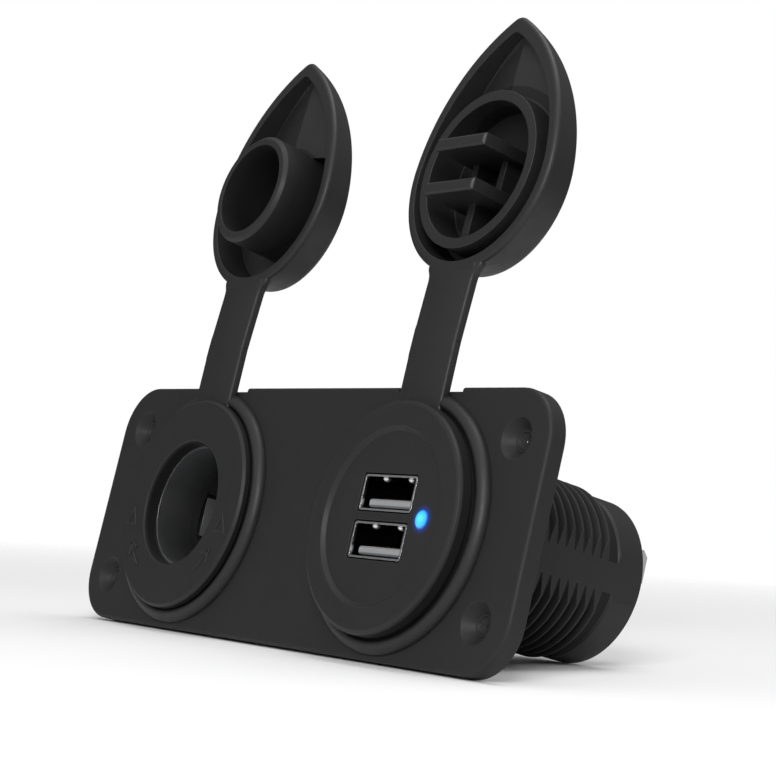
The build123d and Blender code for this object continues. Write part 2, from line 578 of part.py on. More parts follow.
def build_status_led():
    """Domed lamp body that shows through the face, on a wider base behind it."""
    dome_height = LED_DOME
    ball = (LED_RADIUS**2 + dome_height**2) / (2 * dome_height)
    front = USB_DISH_FLOOR
    lamp = drilled(LED_RADIUS - 0.05, front - dome_height, CAVITY_FRONT)
    lamp &= Pos(0, front - dome_height + ball, 0) * Sphere(ball) + drilled(FAR, front + 0.01, CAVITY_FRONT)
    lamp += drilled(LED_BASE_RADIUS, CAVITY_FRONT, CAVITY_FRONT + LED_BASE_LENGTH)
    return Pos(USB_X + LED_X, 0, 0) * lamp


def build_led_leads():
    """The lamp's two wire leads, from its base to the port board."""
    leads = []
    for z in (-LED_LEAD_SPREAD, LED_LEAD_SPREAD):
        x = USB_X + PORT_BOARD_WIDTH / 2 - LED_LEAD_SIZE
        leads.append(block(LED_LEAD_SIZE, CAVITY_FRONT + LED_BASE_LENGTH, PORT_REAR, LED_LEAD_SIZE, x, z))
    return Compound(leads)


def build_port_board():
    """Small board that the two receptacles and the lamp are soldered to."""
    return block(PORT_BOARD_WIDTH, PORT_REAR, PORT_REAR + BOARD_THICKNESS, PORT_BOARD_HEIGHT, USB_X)


def build_converter_board():
    """Step-down converter board, standing at a right angle behind the port board."""
    front = PORT_REAR + BOARD_THICKNESS
    z = BOARD_TOP - BOARD_THICKNESS / 2
    return block(CONVERTER_BOARD_WIDTH, front, REAR_COVER_FRONT, BOARD_THICKNESS, USB_X, z)


def build_inductor():
    """Shielded power inductor: a square ferrite block with its round core standing proud."""
    body = Box(INDUCTOR_SIZE, INDUCTOR_SIZE, INDUCTOR_HEIGHT)
    body = fillet(body.edges().filter_by(Axis.Z), 1.2)
    core_z = (INDUCTOR_HEIGHT + INDUCTOR_CORE_RISE) / 2
    body += Pos(0, 0, core_z) * Cylinder(INDUCTOR_CORE_RADIUS, INDUCTOR_CORE_RISE)
    y = PORT_REAR + BOARD_THICKNESS + 1.0 + INDUCTOR_SIZE / 2
    return Pos(USB_X + INDUCTOR_X, y, BOARD_TOP + INDUCTOR_HEIGHT / 2) * body


def build_capacitor(x, z_sign):
    """Small can capacitor lying along the board, with its crimp groove."""
    y_low = PORT_REAR + BOARD_THICKNESS + 1.0
    groove = y_low + 1.5
    z = BOARD_TOP + CAPACITOR_RADIUS if z_sign > 0 else BOARD_TOP - BOARD_THICKNESS - CAPACITOR_RADIUS
    can = turned([(0, y_low), (CAPACITOR_RADIUS, y_low), (CAPACITOR_RADIUS, groove - 0.5),
                  (CAPACITOR_RADIUS - CAPACITOR_GROOVE, groove), (CAPACITOR_RADIUS, groove + 0.5),
                  (CAPACITOR_RADIUS, y_low + CAPACITOR_LENGTH), (0, y_low + CAPACITOR_LENGTH)])
    return Pos(USB_X + x, 0, z) * can


def build_converter_chip():
    """Converter chip on the board's underside."""
    y_low = PORT_REAR + BOARD_THICKNESS + 4.0
    z = BOARD_TOP - BOARD_THICKNESS - CHIP_HEIGHT / 2
    return block(CHIP_WIDTH, y_low, y_low + CHIP_LENGTH, CHIP_HEIGHT, USB_X - 3.0, z)


def build_usb_rear_cover():
    """Plug that closes the charger's barrel at the rear, slotted for its two blades."""
    radius = USB_CAVITY_RADIUS - REAR_COVER_FIT
    cover = turned([(0, REAR_COVER_FRONT), (radius, REAR_COVER_FRONT), (radius, BARREL_REAR - 0.4),
                    (radius - 0.4, BARREL_REAR), (0, BARREL_REAR)])
    for x in (-BLADE_SPACING / 2, BLADE_SPACING / 2):
        cover -= blade_slot(REAR_COVER_FRONT - 1, BARREL_REAR + 1, x, BOARD_TOP + BLADE_WIDTH / 2)
    return Pos(USB_X, 0, 0) * cover


def build_usb_terminals():
    """Two blades soldered on edge to the converter board and passing through the rear cover."""
    root = REAR_COVER_FRONT - BLADE_ROOT
    tip = BARREL_REAR + BLADE_REACH
    height = BOARD_TOP + BLADE_WIDTH / 2
    positive = build_blade(USB_X - BLADE_SPACING / 2, root, tip, height)
    ground = build_blade(USB_X + BLADE_SPACING / 2, root, tip, height)
    return positive, ground


def build_all():
    """Every sub-part by its node name."""
    parts = {
        "mounting_panel": build_mounting_panel(),
        "lighter_housing": build_lighter_housing(),
        "lighter_nut": build_nut(LIGHTER_X),
        "ground_sleeve": build_ground_sleeve(),
        "contact_base": build_contact_base(),
        "centre_contact": build_centre_contact(),
        "lighter_cap_ring": build_cap_ring(LIGHTER_X, HINGE_GAP_BELOW),
        "lighter_cap": build_lighter_cap(),
        "usb_housing": build_usb_housing(),
        "usb_nut": build_nut(USB_X),
        "usb_rear_cover": build_usb_rear_cover(),
        "status_led": build_status_led(),
        "led_leads": build_led_leads(),
        "port_board": build_port_board(),
        "converter_board": build_converter_board(),
        "inductor": build_inductor(),
        "input_capacitor": build_capacitor(4.6, 1),
        "output_capacitor": build_capacitor(4.6, -1),
        "converter_chip": build_converter_chip(),
        "usb_cap_ring": build_cap_ring(USB_X, HINGE_GAP_BELOW),
        "usb_cap": build_usb_cap(),
    }
    parts["lighter_positive_blade"], parts["lighter_ground_blade"] = build_lighter_terminals()
    parts["usb_positive_blade"], parts["usb_ground_blade"] = build_usb_terminals()
    for name, z in zip(("upper", "lower"), port_places()):
        parts[f"{name}_port_shell"] = build_port_shell(z)
        parts[f"{name}_port_tongue"] = build_port_tongue(z)
        parts[f"{name}_port_contacts"] = build_port_contacts(z)
    return parts


os.makedirs("parts", exist_ok=True)
for node, shape in build_all().items():
    export_step(shape, f"parts/{node}.step")
print("fold height", round(HINGE_Z, 3))
print("fold planes", round(LIGHTER_HINGE_Y, 3), round(USB_HINGE_Y, 3))
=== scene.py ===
import json
import math
import bpy
import bmesh
from mathutils import Matrix, Vector


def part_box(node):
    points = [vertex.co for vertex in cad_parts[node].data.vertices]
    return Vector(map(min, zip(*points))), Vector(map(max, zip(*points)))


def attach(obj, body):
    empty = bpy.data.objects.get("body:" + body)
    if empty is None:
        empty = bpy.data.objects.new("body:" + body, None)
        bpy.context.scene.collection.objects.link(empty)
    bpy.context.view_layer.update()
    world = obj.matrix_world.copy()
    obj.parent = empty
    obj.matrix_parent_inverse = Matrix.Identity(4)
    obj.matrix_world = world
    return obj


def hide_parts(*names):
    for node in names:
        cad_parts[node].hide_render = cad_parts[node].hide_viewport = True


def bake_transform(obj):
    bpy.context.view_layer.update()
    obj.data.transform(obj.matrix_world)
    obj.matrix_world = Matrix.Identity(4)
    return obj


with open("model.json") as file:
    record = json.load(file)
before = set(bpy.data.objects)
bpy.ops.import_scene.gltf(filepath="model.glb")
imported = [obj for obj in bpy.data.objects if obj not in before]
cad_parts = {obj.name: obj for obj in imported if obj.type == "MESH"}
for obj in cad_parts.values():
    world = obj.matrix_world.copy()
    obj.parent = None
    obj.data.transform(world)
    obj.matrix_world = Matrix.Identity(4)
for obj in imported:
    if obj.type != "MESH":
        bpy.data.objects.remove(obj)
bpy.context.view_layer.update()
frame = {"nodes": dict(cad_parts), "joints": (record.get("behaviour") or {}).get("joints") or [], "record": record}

# Camera. The photograph looks at the panel from its right, with a long lens, and the panel leans
# back on the rims of its two barrels, so the camera is turned a little about its own axis too.
MM = 0.001
IMAGE_WIDTH = 776
IMAGE_HEIGHT = 772
LENS_AXIS_X = 376.7
LENS_AXIS_Y = 406.1
LENS_IN_PIXELS = 2161.3
FILM_WIDTH = 36.0
camera_data = bpy.data.cameras.new("studio_camera")
camera = bpy.data.objects.new("studio_camera", camera_data)
bpy.context.collection.objects.link(camera)
camera_right = Vector((0.60112, 0.76746, 0.22283))
camera_up = Vector((-0.00419, -0.27580, 0.96121))
camera_axes = Matrix((camera_right, camera_up, camera_right.cross(camera_up))).transposed()
camera_place = Vector((292.78, -202.80, -37.60)) * MM
camera.matrix_world = Matrix.Translation(camera_place) @ camera_axes.to_4x4()
camera_data.sensor_width = FILM_WIDTH
camera_data.lens = LENS_IN_PIXELS / IMAGE_WIDTH * FILM_WIDTH
camera_data.shift_x = (IMAGE_WIDTH / 2 - LENS_AXIS_X) / IMAGE_WIDTH
camera_data.shift_y = (LENS_AXIS_Y - IMAGE_HEIGHT / 2) / IMAGE_WIDTH
camera_data.clip_start = 0.01
bpy.context.scene.camera = camera
bpy.context.scene.view_settings.view_transform = "Standard"


# Studio floor and light. The object stands on a white sheet, on the bottom edge of the panel and
# the rims of the barrels. The sheet fades out into the white surround before it ends.
def linear(code):
    """An sRGB hex colour as linear red, green, blue and alpha."""
    shares = [int(code[at:at + 2], 16) / 255 for at in (1, 3, 5)]
    return tuple(c / 12.92 if c <= 0.04045 else ((c + 0.055) / 1.055) ** 2.4 for c in shares) + (1.0,)


def add_node(tree, kind, settings=None, links=None):
    """Adds a shader node, sets its settings and sockets, and links other nodes' outputs to it."""
    node = tree.nodes.new(kind)
    for key, value in (settings or {}).items():
        if isinstance(key, str) and hasattr(node, key):
            setattr(node, key, value)
        else:
            node.inputs[key].default_value = value
    for key, source in (links or {}).items():
        tree.links.new(source, node.inputs[key])
    return node


def blank_material(name):
    """A new material with an empty node tree."""
    material = bpy.data.materials.new(name)
    material.use_nodes = True
    material.node_tree.nodes.clear()
    return material, material.node_tree


panel_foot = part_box("mounting_panel")[0][2]
panel_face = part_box("mounting_panel")[0][1] / MM
usb_low, usb_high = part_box("usb_housing")
TAIL_RADIUS = 13.7
TAIL_ROUNDING = 0.6
floor_lean = math.atan2(-TAIL_RADIUS * MM - panel_foot, usb_high[1] - TAIL_ROUNDING * MM)
floor_mesh = bpy.data.meshes.new("paper_floor")
floor_shape = bmesh.new()
bmesh.ops.create_grid(floor_shape, x_segments=8, y_segments=8, size=0.6)
floor_shape.to_mesh(floor_mesh)
floor_shape.free()
floor = bpy.data.objects.new("paper_floor", floor_mesh)
bpy.context.collection.objects.link(floor)
floor.matrix_world = Matrix.Translation((0, 0, panel_foot)) @ Matrix.Rotation(floor_lean, 4, "X")
paper, tree = blank_material("white_paper")
# matt white paper: soft shadows, no gloss, and nothing of its underside seen from below
place = add_node(tree, "ShaderNodeTexCoord")
reach = add_node(tree, "ShaderNodeVectorMath", {"operation": "LENGTH"}, {0: place.outputs["Object"]})
fade = add_node(tree, "ShaderNodeMapRange", {"From Min": 0.16, "From Max": 0.42},
                {"Value": reach.outputs["Value"]})
side = add_node(tree, "ShaderNodeNewGeometry")
gone = add_node(tree, "ShaderNodeMath", {"operation": "MAXIMUM"},
                {0: fade.outputs["Result"], 1: side.outputs["Backfacing"]})
fibre = add_node(tree, "ShaderNodeTexNoise", {"Scale": 1 / (0.8 * MM), "Detail": 4.0},
                 {"Vector": place.outputs["Object"]})
tooth = add_node(tree, "ShaderNodeBump", {"Strength": 0.3, "Distance": 0.02 * MM},
                 {"Height": fibre.outputs["Fac"]})
matt = add_node(tree, "ShaderNodeBsdfDiffuse", {"Color": linear("#fcfcfc")},
                {"Normal": tooth.outputs["Normal"]})
clear = add_node(tree, "ShaderNodeBsdfTransparent")
sheet = add_node(tree, "ShaderNodeMixShader", None,
                 {0: gone.outputs["Value"], 1: matt.outputs["BSDF"], 2: clear.outputs["BSDF"]})
add_node(tree, "ShaderNodeOutputMaterial", None, {"Surface": sheet.outputs["Shader"]})
floor_mesh.materials.append(paper)

# a Mix node has a pair of sockets for each kind of value, and they are told apart by number
MIX_SHARE = 0
NUMBER_A = 2
NUMBER_B = 3
COLOUR_A = 6
COLOUR_B = 7
MIXED_NUMBER = 0
MIXED_COLOUR = 2
world = bpy.data.worlds.new("white_studio")
bpy.context.scene.world = world
world.use_nodes = True
tree = world.node_tree
tree.nodes.clear()
# white all round for the eye and through glass; it lights the object less, and gloss sees it
# brighter towards the right front and above than towards the left
ray = add_node(tree, "ShaderNodeLightPath")
direction = add_node(tree, "ShaderNodeTexCoord")
toward_light = add_node(tree, "ShaderNodeVectorMath",
                        {"operation": "DOT_PRODUCT", 1: (0.50, -0.45, 0.74)},
                        {0: direction.outputs["Generated"]})
sheen = add_node(tree, "ShaderNodeMapRange",
                 {"From Min": -0.1, "From Max": 0.95, "To Min": 0.12, "To Max": 1.0},
                 {"Value": toward_light.outputs["Value"]})
straight = add_node(tree, "ShaderNodeMath", {"operation": "MAXIMUM"},
                    {0: ray.outputs["Is Camera Ray"], 1: ray.outputs["Is Transmission Ray"]})
mirrored = add_node(tree, "ShaderNodeMix", {"data_type": "FLOAT", NUMBER_A: 0.38},
                    {MIX_SHARE: ray.outputs["Is Glossy Ray"], NUMBER_B: sheen.outputs["Result"]})
level = add_node(tree, "ShaderNodeMath", {"operation": "MAXIMUM"},
                 {0: straight.outputs["Value"], 1: mirrored.outputs[MIXED_NUMBER]})
surround = add_node(tree, "ShaderNodeBackground", {"Color": linear("#ffffff")},
                    {"Strength": level.outputs["Value"]})
add_node(tree, "ShaderNodeOutputWorld", None, {"Surface": surround.outputs["Background"]})

lamp_aim = Vector((0.01, 0.0, 0.02))
for lamp_name, lamp_place, lamp_size, lamp_power in (
        ("key_softbox", (0.41, -0.44, 0.20), 0.24, 2.2),
        ("top_softbox", (0.05, -0.02, 0.60), 0.40, 1.5),
        ("front_fill", (-0.20, -0.58, 0.10), 0.50, 0.4)):
    lamp_data = bpy.data.lights.new(lamp_name, "AREA")
    lamp_data.size = lamp_size
    lamp_data.energy = lamp_power
    lamp = bpy.data.objects.new(lamp_name, lamp_data)
    bpy.context.collection.objects.link(lamp)
    lamp.location = lamp_place
    lamp.rotation_mode = "QUATERNION"
    lamp.rotation_quaternion = (lamp_aim - Vector(lamp_place)).to_track_quat("-Z", "Y")

# Mounting panel: a flat plate of black ABS, injection moulded, with dished screw holes in its
# corners and a shallow notch in its top edge behind each strap.
DRIFT_MM = 14
SCUFF_MM = 2.2
SCUFF_POLISH = 0.06
SCUFF_DULLING = 0.08


def moulded(name, dark, light, rub, roughness, grain_mm, grain_depth_mm, edge_mm, glint=0.5):
    """Moulded plastic or rubber: drifting colour, pressed grain, eased edges rubbed a little paler."""
    material, tree = blank_material(name)
    place = add_node(tree, "ShaderNodeTexCoord")
    drift = add_node(tree, "ShaderNodeTexNoise",
                     {"Scale": 1 / (DRIFT_MM * MM), "Detail": 3.0, "Roughness": 0.6},
                     {"Vector": place.outputs["Object"]})
    body = add_node(tree, "ShaderNodeMix",
                    {"data_type": "RGBA", COLOUR_A: linear(dark), COLOUR_B: linear(light)},
                    {MIX_SHARE: drift.outputs["Fac"]})
    grain = add_node(tree, "ShaderNodeTexNoise",
                     {"Scale": 1 / (grain_mm * MM), "Detail": 2.0, "Roughness": 0.7},
                     {"Vector": place.outputs["Object"]})
    eased = add_node(tree, "ShaderNodeBevel", {"samples": 6, "Radius": edge_mm * MM})
    true = add_node(tree, "ShaderNodeNewGeometry")
    likeness = add_node(tree, "ShaderNodeVectorMath", {"operation": "DOT_PRODUCT"},
                        {0: eased.outputs["Normal"], 1: true.outputs["Normal"]})
    edge = add_node(tree, "ShaderNodeMapRange", {"From Min": 0.995, "From Max": 0.80},
                    {"Value": likeness.outputs["Value"]})
    scuff = add_node(tree, "ShaderNodeTexNoise",
                     {"Scale": 1 / (SCUFF_MM * MM), "Detail": 4.0, "Roughness": 0.65},
                     {"Vector": place.outputs["Object"]})
    worn = add_node(tree, "ShaderNodeMath", {"operation": "MULTIPLY"},
                    {0: edge.outputs["Result"], 1: scuff.outputs["Fac"]})
    skin = add_node(tree, "ShaderNodeMix", {"data_type": "RGBA", COLOUR_B: linear(rub)},
                    {MIX_SHARE: worn.outputs["Value"], COLOUR_A: body.outputs[MIXED_COLOUR]})
    gloss = add_node(tree, "ShaderNodeMapRange",
                     {"From Min": 0.25, "From Max": 0.75,
                      "To Min": roughness - SCUFF_POLISH, "To Max": roughness + SCUFF_DULLING},
                     {"Value": scuff.outputs["Fac"]})
    relief = add_node(tree, "ShaderNodeBump", {"Strength": 1.0, "Distance": grain_depth_mm * MM},
                      {"Height": grain.outputs["Fac"], "Normal": eased.outputs["Normal"]})
    surface = add_node(tree, "ShaderNodeBsdfPrincipled", {"IOR": 1.50, "Specular IOR Level": glint},
                       {"Base Color": skin.outputs[MIXED_COLOUR], "Roughness": gloss.outputs["Result"],
                        "Normal": relief.outputs["Normal"]})
    add_node(tree, "ShaderNodeOutputMaterial", None, {"Surface": surface.outputs["BSDF"]})
    return material


def dress(material, *nodes):
    """Gives CAD nodes their material."""
    for node in nodes:
        mesh = frame["nodes"][node].data
        mesh.materials.clear()
        mesh.materials.append(material)


# moulded ABS: an even, satin black with a fine grain of the steel mould, drawn at 0.35 mm
panel_abs = moulded("moulded_abs", dark="#1f1f1f", light="#242424", rub="#434343", roughness=0.52,
                    grain_mm=0.35, grain_depth_mm=0.005, edge_mm=0.25, glint=0.25)
dress(panel_abs, "mounting_panel")


def make_piece(name, points, faces, material, sharp_degrees):
    """A mesh object from points in millimetres, smooth except at edges sharper than the angle."""
    mesh = bpy.data.meshes.new(name)
    mesh.from_pydata([Vector(p) * MM for p in points], [], faces)
    shaped = bmesh.new()
    shaped.from_mesh(mesh)
    bmesh.ops.recalc_face_normals(shaped, faces=shaped.faces)
    shaped.to_mesh(mesh)
    shaped.free()
    mesh.shade_smooth()
    mesh.set_sharp_from_angle(angle=math.radians(sharp_degrees))
    mesh.materials.append(material)
    piece = bpy.data.objects.new(name, mesh)
    bpy.context.collection.objects.link(piece)
    return piece


def join_rows(here, there, width):
    """The faces between two closed rows of points, from the number of each row's first point."""
    return [[here + a, here + (a + 1) % width, there + (a + 1) % width, there + a] for a in range(width)]


def turned(name, centres, profile, material, sharp_degrees, steps):
    """Rings about axes along Y: a closed (radius, y) profile turned at each (x, z) centre, in one mesh."""
    points = []
    faces = []
    width = len(profile)
    for centre_x, centre_z in centres:
        first = len(points)
        for step in range(steps):
            angle = 2 * math.pi * step / steps
            points += [(centre_x + radius * math.cos(angle), y, centre_z + radius * math.sin(angle))
                       for radius, y in profile]
            faces += join_rows(first + step * width, first + (step + 1) % steps * width, width)
    return make_piece(name, points, faces, material, sharp_degrees)


# a collar at the foot of each dish, with the web of flash that is left in its throat until a
# screw breaks it: radius and depth, from the dish's foot and then from the panel's back
DISH_DEPTH = 1.7
dish_foot = panel_face + DISH_DEPTH
collar = [(radius, dish_foot + depth) for radius, depth in (
    (1.74, 0.02), (1.66, -0.10), (1.48, -0.06), (1.34, 0.06), (1.26, 0.24))]
collar += [(1.00, -0.95), (0.12, -0.80), (0.12, -0.70), (1.05, -0.55), (1.55, -0.30), (1.66, -0.04),
           (1.74, -0.04)]
screws = next(m for m in frame["record"]["mounts"] if m["name"] == "panel_screws")["dims"]
screw_places = [(x * screws["spacing_x_mm"] / 2, z * screws["spacing_y_mm"] / 2)
                for x in (-1, 1) for z in (-1, 1)]
collars = turned("screw_hole_collars", screw_places, collar, panel_abs, sharp_degrees=40, steps=48)
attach(collars, "socket_panel")


# Lighter socket's housing: one moulding of glass-filled nylon with a flat flange and a threaded
# barrel. The thread is cut by two flats that stop the socket turning in its hole.
def nylon(name):
    """Moulded nylon: a touch smoother and deeper black than the panel, with slightly paler edges."""
    return moulded(name, dark="#1e1e1e", light="#232323", rub="#454545", roughness=0.46,
                   grain_mm=0.25, grain_depth_mm=0.004, edge_mm=0.20, glint=0.28)


# moulded nylon, as it leaves the mould
housing_nylon = nylon("moulded_nylon")
dress(housing_nylon, "lighter_nut", "usb_nut", "usb_rear_cover")

lighter_low, lighter_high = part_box("lighter_housing")
lighter_x = (lighter_low[0] + lighter_high[0]) / 2 / MM
lighter_face = lighter_low[1] / MM
lighter_flange = (lighter_high[0] - lighter_low[0]) / 2 / MM
BORE_LIP = 11.25
THREAD_CREST = 14.36
THREAD_START = 4.6
THREAD_END = 30.9
BARREL_FLAT = 13.17
RIM_BAND = 0.10


def surface_of(material):
    """A material's node tree and its surface node."""
    tree = material.node_tree
    return tree, next(node for node in tree.nodes if node.bl_idname == "ShaderNodeBsdfPrincipled")


def about_axis(tree, place, centre_x, centre_z):
    """Nodes that split a place into axes and give its distance from an axis along Y."""
    away = add_node(tree, "ShaderNodeVectorMath",
                    {"operation": "SUBTRACT", 1: (centre_x * MM, 0, centre_z * MM)},
                    {0: place.outputs["Object"]})
    axes = add_node(tree, "ShaderNodeSeparateXYZ", None, {0: away.outputs["Vector"]})
    across = add_node(tree, "ShaderNodeVectorMath", {"operation": "MULTIPLY", 1: (1.0, 0.0, 1.0)},
                      {0: away.outputs["Vector"]})
    reach = add_node(tree, "ShaderNodeVectorMath", {"operation": "LENGTH"},
                     {0: across.outputs["Vector"]})
    return axes, reach.outputs["Value"]


def limited(tree, share, limits):
    """A share that counts only where every limit, such as a value less than a number, holds."""
    for operation, value, number in limits:
        limit = add_node(tree, "ShaderNodeMath", {"operation": operation, 1: number}, {0: value})
        share = add_node(tree, "ShaderNodeMath", {"operation": "MULTIPLY"},
                         {0: share, 1: limit.outputs["Value"]}).outputs["Value"]
    return share


def blend_in(tree, surface, share, dull):
    """Mixes black as painted shade, and a duller surface if one is given, into a material by a share."""
    clean = surface.inputs["Base Color"].links[0].from_socket
    shaded = add_node(tree, "ShaderNodeMix", {"data_type": "RGBA", COLOUR_B: linear("#030303")},
                      {MIX_SHARE: share, COLOUR_A: clean})
    tree.links.new(shaded.outputs[MIXED_COLOUR], surface.inputs["Base Color"])
    if dull:
        gloss = surface.inputs["Roughness"].links[0].from_socket
        duller = add_node(tree, "ShaderNodeMix", {"data_type": "FLOAT", NUMBER_B: dull},
                          {MIX_SHARE: share, NUMBER_A: gloss})
        tree.links.new(duller.outputs[MIXED_NUMBER], surface.inputs["Roughness"])


def shade_band(material, centre_x, centre_z, inner, outer, start, end, darkness, dull=None):
    """Painted shade in a hollow: between two radii, colour falls to black from start to end in depth."""
    tree, surface = surface_of(material)
    place = add_node(tree, "ShaderNodeTexCoord")
    axes, reach = about_axis(tree, place, centre_x, centre_z)
    facing = add_node(tree, "ShaderNodeSeparateXYZ", None, {0: place.outputs["Normal"]})
    share = add_node(tree, "ShaderNodeMapRange",
                     {"From Min": start * MM, "From Max": end * MM, "To Max": darkness},
                     {"Value": axes.outputs["Y"]}).outputs["Result"]
    share = limited(tree, share, (("LESS_THAN", reach, outer * MM), ("GREATER_THAN", reach, inner * MM),
                                  ("LESS_THAN", facing.outputs["Y"], 0.5)))
    blend_in(tree, surface, share, dull)


def shade_thread(material, centre_x):
    """Painted shade in the roots between the crests of a barrel's thread; the two side flats keep their colour."""
    tree, surface = surface_of(material)
    place = add_node(tree, "ShaderNodeTexCoord")
    axes, reach = about_axis(tree, place, centre_x, 0)
    share = add_node(tree, "ShaderNodeMapRange",
                     {"From Min": THREAD_CREST * MM, "From Max": TAIL_RADIUS * MM, "To Max": 0.9},
                     {"Value": reach}).outputs["Result"]
    sideways = add_node(tree, "ShaderNodeMath", {"operation": "ABSOLUTE"}, {0: axes.outputs["X"]})
    share = limited(tree, share, (("LESS_THAN", sideways.outputs["Value"], BARREL_FLAT * MM),
                                  ("GREATER_THAN", axes.outputs["Y"], THREAD_START * MM),
                                  ("LESS_THAN", axes.outputs["Y"], THREAD_END * MM)))
    blend_in(tree, surface, share, dull=0.75)


# the same nylon, with painted shade: black and dull on the wall of the bore, the rim of the
# flange and the roots of the thread
bore_nylon = nylon("bored_nylon")
shade_band(bore_nylon, lighter_x, 0, inner=0, outer=BORE_LIP, start=lighter_face + 0.05,
           end=lighter_face + 0.30, darkness=0.95, dull=0.90)
shade_band(bore_nylon, lighter_x, 0, inner=lighter_flange - RIM_BAND, outer=lighter_flange + 1,
           start=lighter_face + 0.15, end=lighter_face + 0.40, darkness=0.85, dull=0.80)
shade_thread(bore_nylon, lighter_x)
dress(bore_nylon, "lighter_housing")

# Marks on the lighter socket's flange: triangles and turning arrows, raised by a hair in the mould.
# Each is a low ridge with sloped sides, and its foot is sunk into the flange.
MARK_RADIUS = 14.9
TRIANGLE_REACH = 1.75
BARB_RADII = (16.1, 13.7)
BARB_DEGREES = 7
ARROW_PARTS = 8
RIDGE = ((-0.27, 0.05), (-0.17, -0.16), (0.17, -0.16), (0.27, 0.05))
SHARPEST_CORNER = 0.35


def raised_line(path, closed, face_y):
    """Points and faces of a low ridge along a flat path of (x, z) points."""
    points = []
    count = len(path)
    for at in range(count):
        before = Vector(path[at - 1] if closed or at else path[at])
        after = Vector(path[(at + 1) % count] if closed or at < count - 1 else path[at])
        here = Vector(path[at])
        first = (here - before).normalized() if (here - before).length else (after - here).normalized()
        second = (after - here).normalized() if (after - here).length else first
        middle = (first + second).normalized()
        normal = Vector((-middle.y, middle.x)) / max(SHARPEST_CORNER, middle.dot(first))
        for half, lift in RIDGE:
            spot = here + normal * half
            points.append((spot.x, face_y + lift, spot.y))
    width = len(RIDGE)
    faces = []
    for at in range(count if closed else count - 1):
        faces += join_rows(at * width, (at + 1) % count * width, width)
    if not closed:
        faces += [list(range(width)), list(range((count - 1) * width, count * width))]
    return points, faces


def ring_point(degrees, radius):
    """A point on the flange, by its angle from the top, clockwise as seen from the front."""
    angle = math.radians(degrees)
    return (lighter_x + radius * math.sin(angle), radius * math.cos(angle))


paths = []
for degrees in (-104, 104):
    centre = Vector(ring_point(degrees, MARK_RADIUS))
    corners = [centre + Vector((math.sin(math.radians(a)), math.cos(math.radians(a)))) * TRIANGLE_REACH
               for a in (0, 120, 240)]
    paths.append(([tuple(c) for c in corners], True))
for tip, tail in ((-122, -142), (122, 142)):
    sweep = [ring_point(tail + (tip - tail) * part / ARROW_PARTS, MARK_RADIUS)
             for part in range(ARROW_PARTS + 1)]
    paths.append((sweep, False))
    back = tip - BARB_DEGREES * math.copysign(1, tip - tail)
    paths.append(([ring_point(back, BARB_RADII[0]), sweep[-1], ring_point(back, BARB_RADII[1])], False))
mark_points = []
mark_faces = []
for path, closed in paths:
    line_points, line_faces = raised_line(path, closed, lighter_face)
    mark_faces += [[len(mark_points) + i for i in face] for face in line_faces]
    mark_points += line_points
marks = make_piece("lighter_flange_marks", mark_points, mark_faces, housing_nylon, sharp_degrees=20)
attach(marks, "socket_panel")

# Lighter socket's ground sleeve and blades: metal strip, deep drawn or stamped, then plated. The
# sleeve carries the plug's ground springs, and the blades take push-on connectors behind.
ALONG_X = 0
ALONG_Y = 1
LINE_STRETCH = 0.06
PLATE_EDGE_MM = 0.06
CLOUD_MM = 3


def plated(name, dark, light, roughness, line_mm, line_depth_mm, along, spread=0.15):
    """Plated metal: a clouded skin over the fine lines that drawing or stamping left, in one direction."""
    material, tree = blank_material(name)
    place = add_node(tree, "ShaderNodeTexCoord")
    stretch = [1.0, 1.0, 1.0]
    stretch[along] = LINE_STRETCH
    pull = add_node(tree, "ShaderNodeMapping", {"Scale": stretch}, {"Vector": place.outputs["Object"]})
    lines = add_node(tree, "ShaderNodeTexNoise",
                     {"Scale": 1 / (line_mm * MM), "Detail": 3.0, "Roughness": 0.6},
                     {"Vector": pull.outputs["Vector"]})
    cloud = add_node(tree, "ShaderNodeTexNoise", {"Scale": 1 / (CLOUD_MM * MM), "Detail": 3.0},
                     {"Vector": place.outputs["Object"]})
    skin = add_node(tree, "ShaderNodeMix",
                    {"data_type": "RGBA", COLOUR_A: linear(dark), COLOUR_B: linear(light)},
                    {MIX_SHARE: cloud.outputs["Fac"]})
    gloss = add_node(tree, "ShaderNodeMapRange",
                     {"From Min": 0.3, "From Max": 0.7,
                      "To Min": roughness - spread / 3, "To Max": roughness + spread * 2 / 3},
                     {"Value": lines.outputs["Fac"]})
    eased = add_node(tree, "ShaderNodeBevel", {"samples": 4, "Radius": PLATE_EDGE_MM * MM})
    relief = add_node(tree, "ShaderNodeBump", {"Strength": 1.0, "Distance": line_depth_mm * MM},
                      {"Height": lines.outputs["Fac"], "Normal": eased.outputs["Normal"]})
    surface = add_node(tree, "ShaderNodeBsdfPrincipled", {"Metallic": 1.0},
                       {"Base Color": skin.outputs[MIXED_COLOUR], "Roughness": gloss.outputs["Result"],
                        "Normal": relief.outputs["Normal"]})
    add_node(tree, "ShaderNodeOutputMaterial", None, {"Surface": surface.outputs["BSDF"]})
    return material


# nickel plate on drawn steel: a soft, even grey metal; painted shade darkens it down the bore
nickel = plated("drawn_nickel_plate", dark="#a9abad", light="#c9cacc", roughness=0.36,
                line_mm=0.25, line_depth_mm=0.0001, along=ALONG_Y, spread=0.03)
shade_band(nickel, lighter_x, 0, inner=0, outer=12.0, start=lighter_face + 2.6,
           end=lighter_face + 24.0, darkness=0.80)
dress(nickel, "ground_sleeve")
# hot tinned brass: paler than the nickel, with the stamping's lines along the blade
tinned = plated("tinned_brass", dark="#b4b6b8", light="#d3d4d5", roughness=0.34,
                line_mm=0.20, line_depth_mm=0.003, along=ALONG_Y)
dress(tinned, "lighter_positive_blade", "lighter_ground_blade", "usb_positive_blade", "usb_ground_blade",
      "led_leads")

